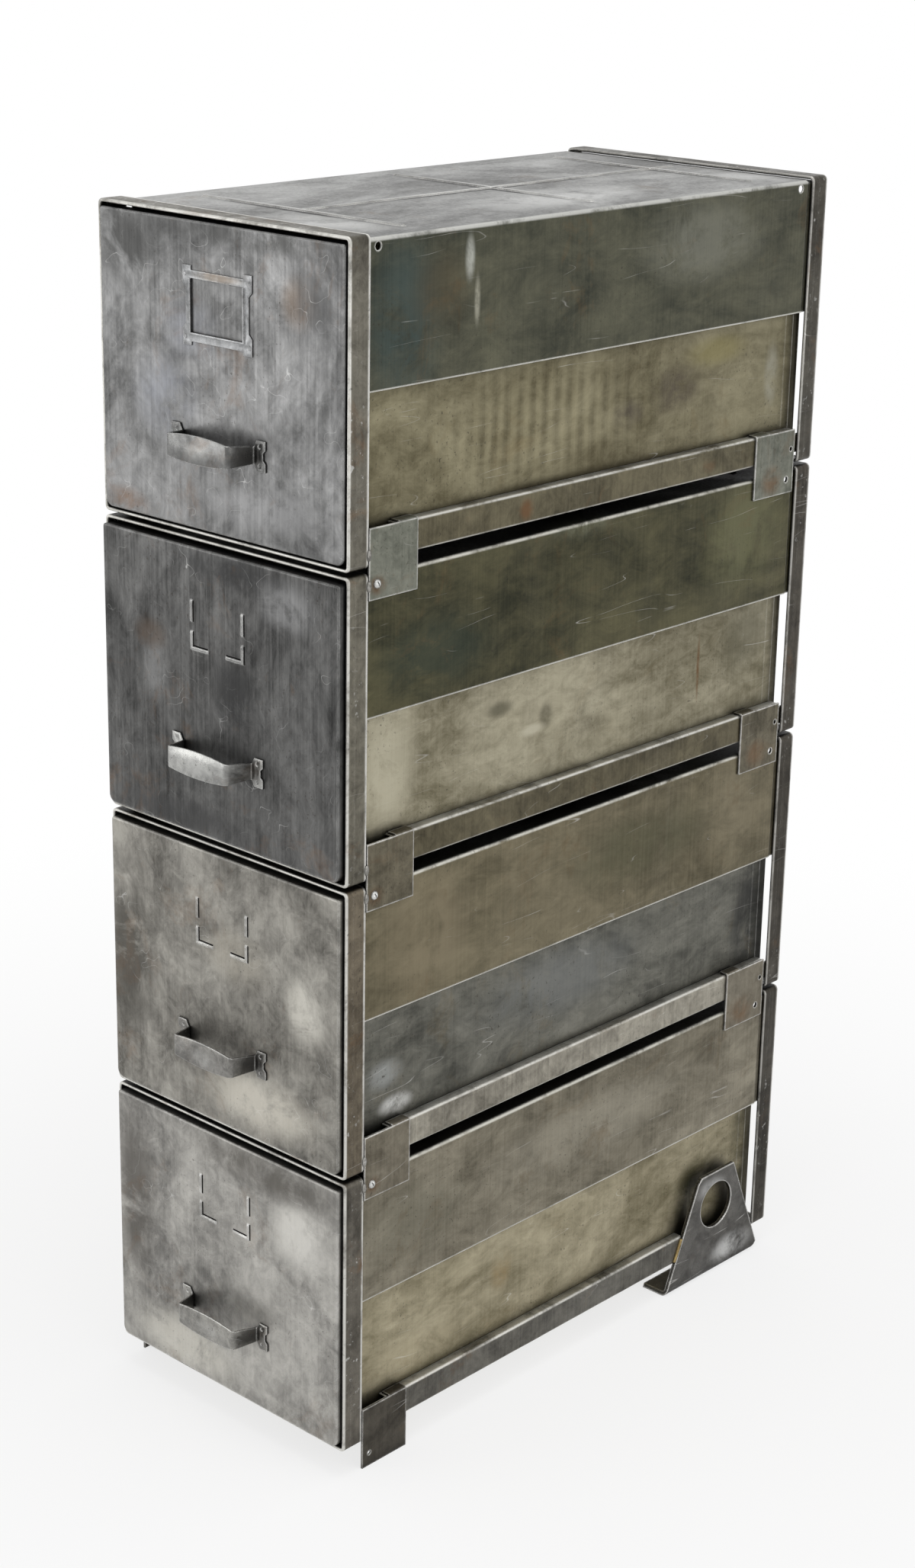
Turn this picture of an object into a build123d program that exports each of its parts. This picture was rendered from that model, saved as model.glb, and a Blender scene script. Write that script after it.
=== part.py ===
from build123d import *
import math
import os

# A stack of four steel transfer-file drawers, sizes in millimetres.
# Each tier is a unit of its own: a front and a rear strip frame, a hood over the top and upper
# sides, two rails low down, and connector plates that hook over the rails and hang over the hood
# of the tier below.  Tier 1 is the top one.  X runs across, Y from front to back, Z up.
# Sections are drawn with y = 0 at the face of the front frames and z = 0 at a frame's bottom edge.

# ---- whole stack -------------------------------------------------------------------------------
TIERS = 4
CASE_WIDTH = 318.0             # across a strip frame
CASE_DEPTH = 660.0             # front frame face to rear frame face
FRAME_HEIGHT = 284.0           # one strip frame, top to bottom
TIER_GAP = 4.0                 # between one frame and the next below
PLATE_DROP = 28.5              # plates and feet reach this far below their frame

# ---- strip frames ------------------------------------------------------------------------------
STRIP = 1.6                    # thickness of the flat strip
FRONT_STRIP_DEPTH = 24.0
REAR_STRIP_DEPTH = 22.0
HEM_DEPTH = 9.0                # strip folded back inside along its front edge
HEM_CORNER = 1.8               # bend inside a hemmed corner
NOSE_FLAT = 0.1                # what rounding leaves of each hem edge

# ---- hood --------------------------------------------------------------------------------------
HOOD_SHEET = 1.2
HOOD_BEND = 3.0                # outside radius along the top edges
SKIRT_BOTTOM = 152.0           # lower edge of the hood's sides
HOOD_TUCK = 12.0               # hood's length inside the front frame
GROOVE = 7.0                   # between hood and rear frame, where the tongue steps in
JOGGLE = 4.0                   # length of that step
TONGUE = 10.0                  # length tucked inside the rear frame
BEAD_WIDTH = 7.0               # pressed stiffening beads in the top
BEAD_HEIGHT = 1.2
BEAD_SLOPE = 45
BEAD_HALF_SPAN = 127.0
FIRST_BEAD = 97.0              # cross bead nearest the front, from the front face
LAST_BEAD = 80.0               # cross bead nearest the rear, from the rear face
MIDDLE_BEAD_SHIFT = 6.5        # how far the third one lies behind the middle of those two
LONG_BEAD_PAST = 35.0          # the long bead runs on behind the last cross bead
LONG_BEAD_WIDTH = 6.0
STACK_HOLE_FRONT = 34.5        # y of the front pair of stacking holes
STACK_HOLE_REAR = 40.0         # the rear pair, from the rear face
STACK_HOLE_BELOW_TOP = 10.5    # below the frame's top edge
STACK_HOLE_RADIUS = 3.5

# ---- rails -------------------------------------------------------------------------------------
RAIL_SHEET = 1.6
RAIL_BEND = 2.6
RAIL_BOTTOM = 5.5
RAIL_HEIGHT = 29.2
LEDGE_WIDTH = 10.5
LEDGE_START = 60.0
RUNNER_WIDTH = 20.0            # lower flange that the drawer slides on
RAIL_END_GAP = 0.3             # between a shut drawer's front and the rail ends
TONGUE_TRIM = 2.5              # rail tongue is this much lower than the web at each edge

# ---- connector plates and front feet -----------------------------------------------------------
PLATE = 2.0
PLATE_FOLD = 3.0
PLATE_RISE = 0.8               # flat part stands above the rail's ledge
FRONT_PLATE_START = 25.0
FRONT_PLATE_LENGTH = 60.0
FRONT_HOOK_START = 62.0
HOOK_REACH = 10.5
REAR_PLATE_LENGTH = 63.0       # ends where the hood's full width ends
REAR_HOOK_LENGTH = 22.0
SCREW_HOLE_RADIUS = 2.7
REAR_HOLE_RADIUS = 3.0
SPARE_HOLE_RADIUS = 2.25
SPARE_HOLE_INSET = 5.5         # from the rear plate's rear edge
SPARE_HOLE_HEIGHT = 16.0
FOOT_HOLE_RADIUS = 2.25

# ---- rear foot brackets, their places along Y measured forwards from the case's rear face ------
BRACKET = 4.5
BRACKET_FOLD = 6.5
BRACKET_TOP = 94.0
BRACKET_TOE = 173.0            # front end on the floor
BRACKET_SHOULDER = 124.0       # front end of the small top chamfer
BRACKET_CHAMFER = 6.0
BRACKET_TOP_END = 63.0
BRACKET_HEEL = 15.0            # rearmost corner, below the rear frame
HEEL_HEIGHT = 8.5
HEEL_STEP = 7.0
BRACKET_FLANGE = 32.0
BRACKET_HOLE_RADIUS = 26.5
BRACKET_HOLE = 92.0
BRACKET_HOLE_Z = 54.0
NOTCH_GAP = 0.3                # rail cut back from the bracket
BRAZE_LEG = 2.6                # fillet of braze between rail and bracket
BRAZE_BULGE = 0.65             # how full the fillet is, from 0.5 for a flat one

# ---- screws and nuts ---------------------------------------------------------------------------
SCREW_RADIUS = 2.5
SCREW_HEAD_RADIUS = 4.5
SCREW_HEAD_HEIGHT = 2.8
SLOT_WIDTH = 1.2
SLOT_DEPTH = 1.3
SLOT_TURN = 25                 # degrees that the driver left the slots turned
SCREW_PAST_NUT = 1.2
NUT_ACROSS = 8.6
NUT_HEIGHT = 3.2
THREAD_CLEARANCE = 0.05

# ---- drawers -----------------------------------------------------------------------------------
REST_OPEN = (2.0, 7.0, 5.0, 5.0)   # how far each drawer face stands out in the picture
FACE_SIDE_GAP = 1.3            # face to hem at the sides
FACE_TOP_GAP = 3.3
FACE_BOTTOM_GAP = 2.2
FACE_SHEET = 1.6
FACE_RETURN = 14.0             # flange turned back all round
FACE_EDGE = 1.4                # rounding of the face's edge
FACE_TOP_CORNER = 3.0
FACE_BOTTOM_CORNER = 8.0
TRAY_SHEET = 1.0
TRAY_BEND = 2.5
TRAY_SIDE_GAP = 0.4            # tray side to the rail's ledge
TRAY_LIFT = 0.3                # tray bottom above the runner
TRAY_HEIGHT = 236.0
TRAY_REAR_GAP = 23.0           # shut drawer's sides to the rear face of the case
TRAY_HEM = 8.0
BACK_LAP = 12.0                # back pan's length inside the tray's sides
BACK_PROUD = 11.5              # back pan's length behind them
BACK_EDGE = 0.9                # rounding of the back pan's rear edges

# ---- pulls -------------------------------------------------------------------------------------
PULL_SHEET = 1.8
PULL_Z = 85.0
PULL_HALF_SPAN = 60.4
PULL_REACH = 27.0              # front of the band from the face
PULL_BEND = 4.5
EAR_BEND = 3.2
EAR_WIDTH = 14.0
EAR_HALF_HEIGHT = 13.7
BAND_HALF_SPAN = 39.5
BAND_END_HALF_HEIGHT = 9.8
BAND_MIDDLE_HALF_HEIGHT = 12.8
NECK_HALF_HEIGHT = 7.6
NECK_SHOULDER = 3.4            # width of the slope from neck to ear
NOTCH_DEPTH = 3.0
NOTCH_HALF_HEIGHT = 3.2
NOTCH_FLARE = 2.6
WELD_RADIUS = 2.0              # spot-weld dimples
WELD_DEPTH = 0.5

# ---- label holder of the top drawer ------------------------------------------------------------
HOLDER_SHEET = 1.0
HOLDER_HALF_WIDTH = 40.0
HOLDER_EAR_HALF_WIDTH = 44.0
HOLDER_BOTTOM = 169.5
HOLDER_TOP = 239.0
HOLDER_EAR_HEIGHT = 19.0
HOLDER_EAR_SLOPE = 4.0
WINDOW_HALF_WIDTH = 33.3
WINDOW_BOTTOM = 181.0
WINDOW_TOP = 228.0
BAR_BOTTOM = 173.0
BAR_TOP = 235.0
LIP_WIDTH = 1.6
LIP_HEIGHT = 1.4

# ---- card tongues of the other drawers ---------------------------------------------------------
TONGUE_STRIP = 3.0
TONGUE_PROUD = 1.4
CARD_HALF_WIDTH = 35.0
CARD_DASH_BOTTOM = 208.0
CARD_DASH_TOP = 228.0
CARD_CORNER_BOTTOM = 182.0
CARD_CORNER_TOP = 199.0
CARD_ARM = 23.0

# ---- worked out from the sizes above -----------------------------------------------------------
PITCH = FRAME_HEIGHT + TIER_GAP
HALF_WIDTH = CASE_WIDTH / 2
SEAT = HALF_WIDTH - STRIP                  # inside of the strip, where hood and rails lie
HEM_FACE = SEAT - STRIP                    # inside of the hem
REAR_START = CASE_DEPTH - REAR_STRIP_DEPTH
HOOD_TOP = FRAME_HEIGHT - 2 * STRIP
HOOD_START = FRONT_STRIP_DEPTH - HOOD_TUCK
HOOD_END = REAR_START - GROOVE
RAIL_TOP = RAIL_BOTTOM + RAIL_HEIGHT
RAIL_START = FACE_RETURN + RAIL_END_GAP
PLATE_FACE = SEAT + PLATE
PLATE_TOP = RAIL_TOP + PLATE_RISE
RAIL_INSIDE = SEAT - RAIL_SHEET
BRACKET_FACE = RAIL_INSIDE + BRACKET
REAR_STACK_Y = CASE_DEPTH - STACK_HOLE_REAR
STACK_HOLE_Z = FRAME_HEIGHT - STACK_HOLE_BELOW_TOP
PLATE_HOLE_Z = STACK_HOLE_Z - PITCH
REAR_PLATE_START = HOOD_END - REAR_PLATE_LENGTH
BRACKET_FRONT_Y = CASE_DEPTH - BRACKET_TOE
BRACKET_SHOULDER_Y = CASE_DEPTH - BRACKET_SHOULDER
BRACKET_HEEL_Y = CASE_DEPTH - BRACKET_HEEL
FACE_HALF_WIDTH = HEM_FACE - FACE_SIDE_GAP
FACE_BOTTOM = 2 * STRIP + FACE_BOTTOM_GAP
FACE_TOP = FRAME_HEIGHT - 2 * STRIP - FACE_TOP_GAP
TRAY_HALF_WIDTH = SEAT - LEDGE_WIDTH - TRAY_SIDE_GAP
TRAY_BOTTOM = RAIL_BOTTOM + RAIL_SHEET + TRAY_LIFT
TRAY_TOP = TRAY_BOTTOM + TRAY_HEIGHT
TRAY_END = CASE_DEPTH - TRAY_REAR_GAP
NECK_X = PULL_HALF_SPAN - EAR_WIDTH
FRONT_MOST = -(max(REST_OPEN) + PULL_REACH)
MIDDLE_Y = (CASE_DEPTH + FRONT_MOST) / 2   # the origin stands under the middle of the whole part


# ---- drawing helpers ---------------------------------------------------------------------------
def run_back(section, start, length):
    """Extrude a section drawn in X and Z backwards from y = start."""
    return extrude(Plane.XZ.offset(-start) * section, amount=-length)


def block(x0, x1, z0, z1):
    """A rectangle in X and Z."""
    return Pos((x0 + x1) / 2, (z0 + z1) / 2) * Rectangle(abs(x1 - x0), z1 - z0)


def folded(skin, sheet, bend):
    """Section of a sheet folded along its outer skin, thickened to the left of the path."""
    return make_face(offset(FilletPolyline(*skin, radius=bend), amount=sheet, side=Side.LEFT))


def cross_hole(y, z, radius, x0, x1):
    """A cutter along X."""
    tool = Plane.YZ.offset(min(x0, x1)) * (Pos(y, z) * Circle(radius))
    return extrude(tool, amount=abs(x1 - x0))


def both_sides(right):
    """The right-hand piece and its mirror image."""
    return {"right": right, "left": mirror(right, about=Plane.YZ)}


# ---- the case ----------------------------------------------------------------------------------
def frame_outline(inset):
    """Outline of a strip frame, moved inwards; its corners stay concentric."""
    corner = HEM_CORNER + 2 * STRIP - inset
    width = CASE_WIDTH - 2 * inset
    height = FRAME_HEIGHT - 2 * inset
    return Pos(0, FRAME_HEIGHT / 2) * RectangleRounded(width, height, corner)


def strip_frame(start, depth):
    """A closed frame of flat strip whose front edge is hemmed to the inside."""
    wall = run_back(frame_outline(0) - frame_outline(STRIP), start, depth)
    hem = run_back(frame_outline(STRIP) - frame_outline(2 * STRIP), start, HEM_DEPTH)
    frame = wall + hem
    return fillet(frame.edges().group_by(Axis.Y)[0], STRIP - NOSE_FLAT)


def hood_section(inset):
    """The U of the hood, its walls moved inwards by inset."""
    side = SEAT - inset
    top = HOOD_TOP - inset
    skin = [(side, SKIRT_BOTTOM), (side, top), (-side, top), (-side, SKIRT_BOTTOM)]
    return folded(skin, HOOD_SHEET, HOOD_BEND)


def pressed_bead(middle, length, width, turn):
    """A flat-topped bead standing on the hood's top, and the same form to press from below."""
    outline = Rot(0, 0, turn) * SlotOverall(length, width)
    base = Pos(0, middle, HOOD_TOP) * outline
    raised = extrude(base, amount=BEAD_HEIGHT, taper=BEAD_SLOPE)
    return raised, Pos(0, 0, -HOOD_SHEET) * raised


def hood():
    """The sheet cover: top, two skirts, pressed beads, and a tongue under the rear frame."""
    main = run_back(hood_section(0), HOOD_START, HOOD_END - HOOD_START)
    step_end = HOOD_END + JOGGLE
    ends = [Plane.XZ.offset(-HOOD_END) * hood_section(0),
            Plane.XZ.offset(-step_end) * hood_section(STRIP)]
    step = loft(ends, ruled=True)
    tongue_length = REAR_START + TONGUE - step_end
    tongue = run_back(hood_section(STRIP), step_end, tongue_length)
    cover = main + step + tongue
    last = CASE_DEPTH - LAST_BEAD
    middle = (FIRST_BEAD + last) / 2 + MIDDLE_BEAD_SHIFT
    beads = [pressed_bead(y, 2 * BEAD_HALF_SPAN, BEAD_WIDTH, 0) for y in (FIRST_BEAD, middle, last)]
    length = last + LONG_BEAD_PAST - FIRST_BEAD
    beads.append(pressed_bead(FIRST_BEAD + length / 2, length, LONG_BEAD_WIDTH, 90))
    for raised, _ in beads:
        cover += raised
    for _, pressed in beads:
        cover -= pressed
    for y in (STACK_HOLE_FRONT, REAR_STACK_Y):
        cover -= cross_hole(y, STACK_HOLE_Z, STACK_HOLE_RADIUS, -HALF_WIDTH, HALF_WIDTH)
    return cover


def rail():
    """Right-hand rail: runner, web and ledge, with a tongue stepped in under the rear frame."""
    runner_edge = SEAT - RUNNER_WIDTH
    ledge_edge = SEAT - LEDGE_WIDTH
    angle = [(runner_edge, RAIL_BOTTOM), (SEAT, RAIL_BOTTOM), (SEAT, RAIL_TOP)]
    channel = angle + [(ledge_edge, RAIL_TOP)]
    front = run_back(folded(angle, RAIL_SHEET, RAIL_BEND), RAIL_START, LEDGE_START - RAIL_START)
    main = run_back(folded(channel, RAIL_SHEET, RAIL_BEND), LEDGE_START, HOOD_END - LEDGE_START)
    step_end = HOOD_END + JOGGLE
    tip = REAR_START + TONGUE
    stepped = [(SEAT, HOOD_END - JOGGLE), (SEAT, HOOD_END), (HEM_FACE, step_end), (HEM_FACE, tip)]
    inner = [(x - RAIL_SHEET, y) for x, y in reversed(stepped)]
    plan = make_face(Polyline(*stepped, *inner, close=True))
    low = RAIL_BOTTOM + RAIL_BEND + TONGUE_TRIM
    high = RAIL_TOP - RAIL_BEND - TONGUE_TRIM
    return front + main + extrude(Pos(0, 0, low) * plan, amount=high - low)


def hooked_plate(start, length, hook_start, hook_length):
    """A flat plate beside the rail, with a tab of it folded over the rail's ledge."""
    flat = run_back(block(SEAT, PLATE_FACE, -PLATE_DROP, PLATE_TOP), start, length)
    over = RAIL_TOP + PLATE
    skin = [(PLATE_FACE, -PLATE_DROP), (PLATE_FACE, over), (PLATE_FACE - HOOK_REACH, over)]
    return flat + run_back(folded(skin, PLATE, PLATE_FOLD), hook_start, hook_length)


def front_plate(hole_radius):
    """Front connector plate, which on the bottom tier is the front foot."""
    hook_length = FRONT_PLATE_START + FRONT_PLATE_LENGTH - FRONT_HOOK_START
    plate = hooked_plate(FRONT_PLATE_START, FRONT_PLATE_LENGTH, FRONT_HOOK_START, hook_length)
    return plate - cross_hole(STACK_HOLE_FRONT, PLATE_HOLE_Z, hole_radius, SEAT, PLATE_FACE)


def rear_plate():
    """Rear connector plate with its stacking hole and one spare hole."""
    plate = hooked_plate(REAR_PLATE_START, REAR_PLATE_LENGTH, REAR_PLATE_START, REAR_HOOK_LENGTH)
    spare_y = HOOD_END - SPARE_HOLE_INSET
    plate -= cross_hole(REAR_STACK_Y, PLATE_HOLE_Z, REAR_HOLE_RADIUS, SEAT, PLATE_FACE)
    return plate - cross_hole(spare_y, SPARE_HOLE_HEIGHT, SPARE_HOLE_RADIUS, SEAT, PLATE_FACE)


def bracket_profile():
    """Side view of the rear foot bracket, in Y and Z."""
    points = [(BRACKET_FRONT_Y, -PLATE_DROP),
              (BRACKET_HEEL_Y - HEEL_STEP, -PLATE_DROP),
              (BRACKET_HEEL_Y, -PLATE_DROP + HEEL_HEIGHT),
              (CASE_DEPTH - BRACKET_TOP_END, BRACKET_TOP),
              (BRACKET_SHOULDER_Y + BRACKET_CHAMFER, BRACKET_TOP),
              (BRACKET_SHOULDER_Y, BRACKET_TOP - BRACKET_CHAMFER)]
    return make_face(Polyline(*points, close=True))


def side_slab(profile, x0, x1):
    """Extrude a profile drawn in Y and Z from x0 to x1."""
    return extrude(Plane.YZ.offset(x0) * profile, amount=x1 - x0)


def foot_bracket():
    """Thick plate foot at the rear, with a lifting hole and a flange turned in on the floor."""
    tip = BRACKET_FACE - BRACKET_FLANGE
    skin = [(tip, -PLATE_DROP), (BRACKET_FACE, -PLATE_DROP), (BRACKET_FACE, BRACKET_TOP)]
    length = BRACKET_HEEL_Y - BRACKET_FRONT_Y
    bent = run_back(folded(skin, BRACKET, BRACKET_FOLD), BRACKET_FRONT_Y, length)
    plate = bent & side_slab(bracket_profile(), tip, BRACKET_FACE)
    hole_y = CASE_DEPTH - BRACKET_HOLE
    return plate - cross_hole(hole_y, BRACKET_HOLE_Z, BRACKET_HOLE_RADIUS, RAIL_INSIDE, BRACKET_FACE)


def front_edge_y(z):
    """Y of the bracket's sloping front edge at height z."""
    rise = BRACKET_TOP - BRACKET_CHAMFER + PLATE_DROP
    return BRACKET_FRONT_Y + (BRACKET_SHOULDER_Y - BRACKET_FRONT_Y) * (z + PLATE_DROP) / rise


def notched_rail():
    """The bottom tier's rail: web and ledge stop at the foot bracket, the runner goes on."""
    runner_top = RAIL_BOTTOM + RAIL_SHEET + NOTCH_GAP
    over = RAIL_TOP + PLATE
    cuts = []
    for low in (0, runner_top):
        behind = [(front_edge_y(low) - NOTCH_GAP, low), (CASE_DEPTH, low),
                  (CASE_DEPTH, over), (front_edge_y(over) - NOTCH_GAP, over)]
        cuts.append(make_face(Polyline(*behind, close=True)))
    whole, above_runner = cuts
    runner_edge = SEAT - RUNNER_WIDTH
    trimmed = rail() - side_slab(whole, RAIL_INSIDE, HALF_WIDTH)
    return trimmed - side_slab(above_runner, runner_edge, RAIL_INSIDE)


def braze():
    """A fillet of braze up the joint between the rail's web and the bracket's front edge."""
    low = RAIL_BOTTOM + RAIL_BEND
    high = RAIL_TOP - RAIL_BEND
    corner = [(SEAT, front_edge_y(low) - BRAZE_LEG), (SEAT, front_edge_y(low)),
              (SEAT + BRAZE_LEG, front_edge_y(low))]
    bulge = BRAZE_LEG * BRAZE_BULGE
    crown = ThreePointArc(corner[2], (SEAT + bulge, front_edge_y(low) - bulge), corner[0])
    section = make_face(Polyline(*corner) + crown)
    lean = Vector(0, front_edge_y(high) - front_edge_y(low), high - low)
    return extrude(Pos(0, 0, low) * section, amount=lean.length, dir=lean)


def screw():
    """Slotted round-head screw, its axis along +X and the underside of its head at x = 0."""
    shank_length = PLATE + HOOD_SHEET + NUT_HEIGHT + SCREW_PAST_NUT
    ball = (SCREW_HEAD_HEIGHT ** 2 + SCREW_HEAD_RADIUS ** 2) / (2 * SCREW_HEAD_HEIGHT)
    halfway = math.asin(SCREW_HEAD_RADIUS / ball) / 2
    shoulder = (SCREW_HEAD_HEIGHT - ball + ball * math.cos(halfway), ball * math.sin(halfway))
    dome = ThreePointArc((SCREW_HEAD_HEIGHT, 0), shoulder, (0, SCREW_HEAD_RADIUS))
    side = Polyline((0, SCREW_HEAD_RADIUS), (0, SCREW_RADIUS), (-shank_length, SCREW_RADIUS),
                    (-shank_length, 0), (SCREW_HEAD_HEIGHT, 0))
    turned = revolve(make_face(dome + side), axis=Axis.X)
    slot = Box(2 * SLOT_DEPTH, SLOT_WIDTH, 3 * SCREW_HEAD_RADIUS)
    return turned - Pos(SCREW_HEAD_HEIGHT, 0, 0) * Rot(SLOT_TURN, 0, 0) * slot


def nut():
    """Square nut on the inside of the hood, its outer face at x = 0."""
    blank = Rectangle(NUT_ACROSS, NUT_ACROSS) - Circle(SCREW_RADIUS + THREAD_CLEARANCE)
    return extrude(Plane.YZ * blank, amount=-NUT_HEIGHT)


# ---- the drawers -------------------------------------------------------------------------------
def face_outline(inset):
    """Outline of the drawer's face, moved inwards."""
    panel = block(-FACE_HALF_WIDTH + inset, FACE_HALF_WIDTH - inset,
                  FACE_BOTTOM + inset, FACE_TOP - inset)
    panel = fillet(panel.vertices().group_by(Axis.Y)[-1], FACE_TOP_CORNER - inset)
    return fillet(panel.vertices().group_by(Axis.Y)[0], FACE_BOTTOM_CORNER - inset)


def drawer_face():
    """A shallow pan: the face with a flange turned back all round."""
    pan = run_back(face_outline(0), 0, FACE_RETURN)
    pan = fillet(pan.faces().sort_by(Axis.Y)[0].edges(), FACE_EDGE)
    return pan - run_back(face_outline(FACE_SHEET), FACE_SHEET, FACE_RETURN)


def card_tongues():
    """Raised strips lanced out of the face: two upright dashes and two mitred corners."""
    strips = Sketch()
    for side in (-1, 1):
        inner = side * (CARD_HALF_WIDTH - TONGUE_STRIP)
        outer = side * CARD_HALF_WIDTH
        low = CARD_CORNER_BOTTOM + TONGUE_STRIP
        arm_end = side * (CARD_HALF_WIDTH - CARD_ARM)
        strips += block(min(inner, outer), max(inner, outer), CARD_DASH_BOTTOM, CARD_DASH_TOP)
        strips += block(min(inner, outer), max(inner, outer), CARD_CORNER_BOTTOM, CARD_CORNER_TOP)
        strips += block(min(arm_end, outer), max(arm_end, outer), CARD_CORNER_BOTTOM, low)
    tilt = math.degrees(math.atan2(TONGUE_STRIP / 4, TONGUE_PROUD))
    return extrude(Plane.XZ * strips, amount=TONGUE_PROUD, taper=tilt)


def trough(half, low, start, end):
    """Bottom and two sides folded from one sheet."""
    skin = [(-half, TRAY_TOP), (-half, low), (half, low), (half, TRAY_TOP)]
    return run_back(folded(skin, TRAY_SHEET, TRAY_BEND), start, end - start)


def end_wall(half, low, start):
    """The wall across one end of a trough."""
    wall = block(-half, half, low, TRAY_TOP)
    wall = fillet(wall.vertices().group_by(Axis.Y)[0], TRAY_BEND)
    return run_back(wall, start, TRAY_SHEET)


def tray():
    """Folded box with its own front wall, and a back pan that is set into it and stands out."""
    sides = trough(TRAY_HALF_WIDTH, TRAY_BOTTOM, FACE_SHEET, TRAY_END)
    half, low, rear = TRAY_HALF_WIDTH - TRAY_SHEET, TRAY_BOTTOM + TRAY_SHEET, TRAY_END + BACK_PROUD
    pan = trough(half, low, TRAY_END - BACK_LAP, rear) + end_wall(half, low, rear - TRAY_SHEET)
    pan = fillet(pan.faces().sort_by(Axis.Y)[-1].edges(), BACK_EDGE)
    return sides + end_wall(TRAY_HALF_WIDTH, TRAY_BOTTOM, FACE_SHEET) + pan + tray_hem(half, rear)


def tray_hem(half, rear):
    """The second layer folded down inside the top edges of the sides and the back."""
    low = TRAY_TOP - TRAY_HEM
    start = FACE_SHEET + TRAY_SHEET
    length = TRAY_END - BACK_LAP - start
    hem = run_back(block(half - TRAY_SHEET, half, low, TRAY_TOP), start, length)
    back = run_back(block(-half, half, low, TRAY_TOP), rear - 2 * TRAY_SHEET, TRAY_SHEET)
    return hem + mirror(hem, about=Plane.YZ) + back


def pull_outline():
    """Front view of the pull: barrel-shaped band, tapered legs, notched ears."""
    shoulder = NECK_X + NECK_SHOULDER
    notch_floor = PULL_HALF_SPAN - NOTCH_DEPTH
    notch_mouth = NOTCH_HALF_HEIGHT + NOTCH_FLARE
    band_end = (BAND_HALF_SPAN, BAND_END_HALF_HEIGHT)
    quarter = [(NECK_X, NECK_HALF_HEIGHT), (shoulder, EAR_HALF_HEIGHT),
               (PULL_HALF_SPAN, EAR_HALF_HEIGHT), (PULL_HALF_SPAN, notch_mouth),
               (notch_floor, NOTCH_HALF_HEIGHT)]
    right = [band_end] + quarter + [(x, -z) for x, z in reversed(quarter)]
    right.append((band_end[0], -band_end[1]))
    left = [(-x, z) for x, z in reversed(right)]
    top = ThreePointArc(left[-1], (0, BAND_MIDDLE_HALF_HEIGHT), right[0])
    bottom = ThreePointArc(right[-1], (0, -BAND_MIDDLE_HALF_HEIGHT), left[0])
    outline = make_face(Polyline(*right) + bottom + Polyline(*left) + top)
    return Pos(0, PULL_Z) * outline


def pull():
    """Bow pull bent from one strip and spot-welded to the face through its ears."""
    face_y = -PULL_SHEET
    front = -PULL_REACH
    skin = [(-PULL_HALF_SPAN, face_y), (-NECK_X, face_y), (-BAND_HALF_SPAN, front),
            (BAND_HALF_SPAN, front), (NECK_X, face_y), (PULL_HALF_SPAN, face_y)]
    bends = [EAR_BEND - PULL_SHEET, PULL_BEND, PULL_BEND, EAR_BEND - PULL_SHEET]
    strip = make_face(offset(FilletPolyline(*skin, radius=bends), amount=PULL_SHEET,
                             side=Side.LEFT))
    tall = extrude(Pos(0, 0, PULL_Z - EAR_HALF_HEIGHT) * strip, amount=2 * EAR_HALF_HEIGHT)
    bow = tall & run_back(pull_outline(), front, PULL_REACH)
    weld_x = PULL_HALF_SPAN - EAR_WIDTH / 2
    weld_z = (EAR_HALF_HEIGHT + NOTCH_HALF_HEIGHT) / 2
    return bow - weld_dimples([(sx * weld_x, PULL_Z + sz * weld_z)
                               for sx in (-1, 1) for sz in (-1, 1)], face_y)


def weld_dimples(places, face_y):
    """Shallow round marks left by spot welding on a sheet whose front is at face_y."""
    marks = Sketch()
    for x, z in places:
        marks += Pos(x, z) * RegularPolygon(WELD_RADIUS, 8)
    return run_back(marks, face_y - WELD_DEPTH, 2 * WELD_DEPTH)


def holder_outline():
    """Front view of the label holder, with an ear at each end of its uprights."""
    plate = block(-HOLDER_HALF_WIDTH, HOLDER_HALF_WIDTH, BAR_BOTTOM, BAR_TOP)
    middle = (HOLDER_BOTTOM + HOLDER_TOP) / 2
    for side in (-1, 1):
        inner = side * WINDOW_HALF_WIDTH
        outer = side * HOLDER_HALF_WIDTH
        tip = side * HOLDER_EAR_HALF_WIDTH
        for end, inward in ((HOLDER_BOTTOM, 1), (HOLDER_TOP, -1)):
            root = end + inward * HOLDER_EAR_HEIGHT
            slope = root - inward * HOLDER_EAR_SLOPE
            ear = [(inner, end), (tip, end), (tip, slope), (outer, root), (inner, root)]
            plate += make_face(Polyline(*ear, close=True))
    window_middle = (WINDOW_BOTTOM + WINDOW_TOP) / 2
    window = Pos(0, window_middle) * Rectangle(2 * WINDOW_HALF_WIDTH, WINDOW_TOP - WINDOW_BOTTOM)
    return plate - window


def label_holder():
    """Pressed card frame: a flat plate with raised lips on three sides of its window."""
    plate = run_back(holder_outline(), -HOLDER_SHEET, HOLDER_SHEET)
    proud = HOLDER_SHEET + LIP_HEIGHT
    lips = Sketch()
    for side in (-1, 1):
        a, b = sorted((side * WINDOW_HALF_WIDTH, side * (WINDOW_HALF_WIDTH + LIP_WIDTH)))
        lips += block(a, b, WINDOW_BOTTOM - LIP_WIDTH, WINDOW_TOP)
    lips += block(-WINDOW_HALF_WIDTH, WINDOW_HALF_WIDTH, WINDOW_BOTTOM - LIP_WIDTH, WINDOW_BOTTOM)
    holder = plate + run_back(lips, -proud, proud)
    weld_x = (HOLDER_HALF_WIDTH + HOLDER_EAR_HALF_WIDTH) / 2 - WELD_RADIUS / 2
    inset = (HOLDER_EAR_HEIGHT - HOLDER_EAR_SLOPE) / 2
    places = [(side * weld_x, z) for side in (-1, 1)
              for z in (HOLDER_BOTTOM + inset, HOLDER_TOP - inset)]
    return holder - weld_dimples(places, -HOLDER_SHEET)


# ---- assembly ----------------------------------------------------------------------------------
def tier_floor(tier):
    """Height of a tier's frame above the floor."""
    return PLATE_DROP + (TIERS - tier) * PITCH


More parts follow.
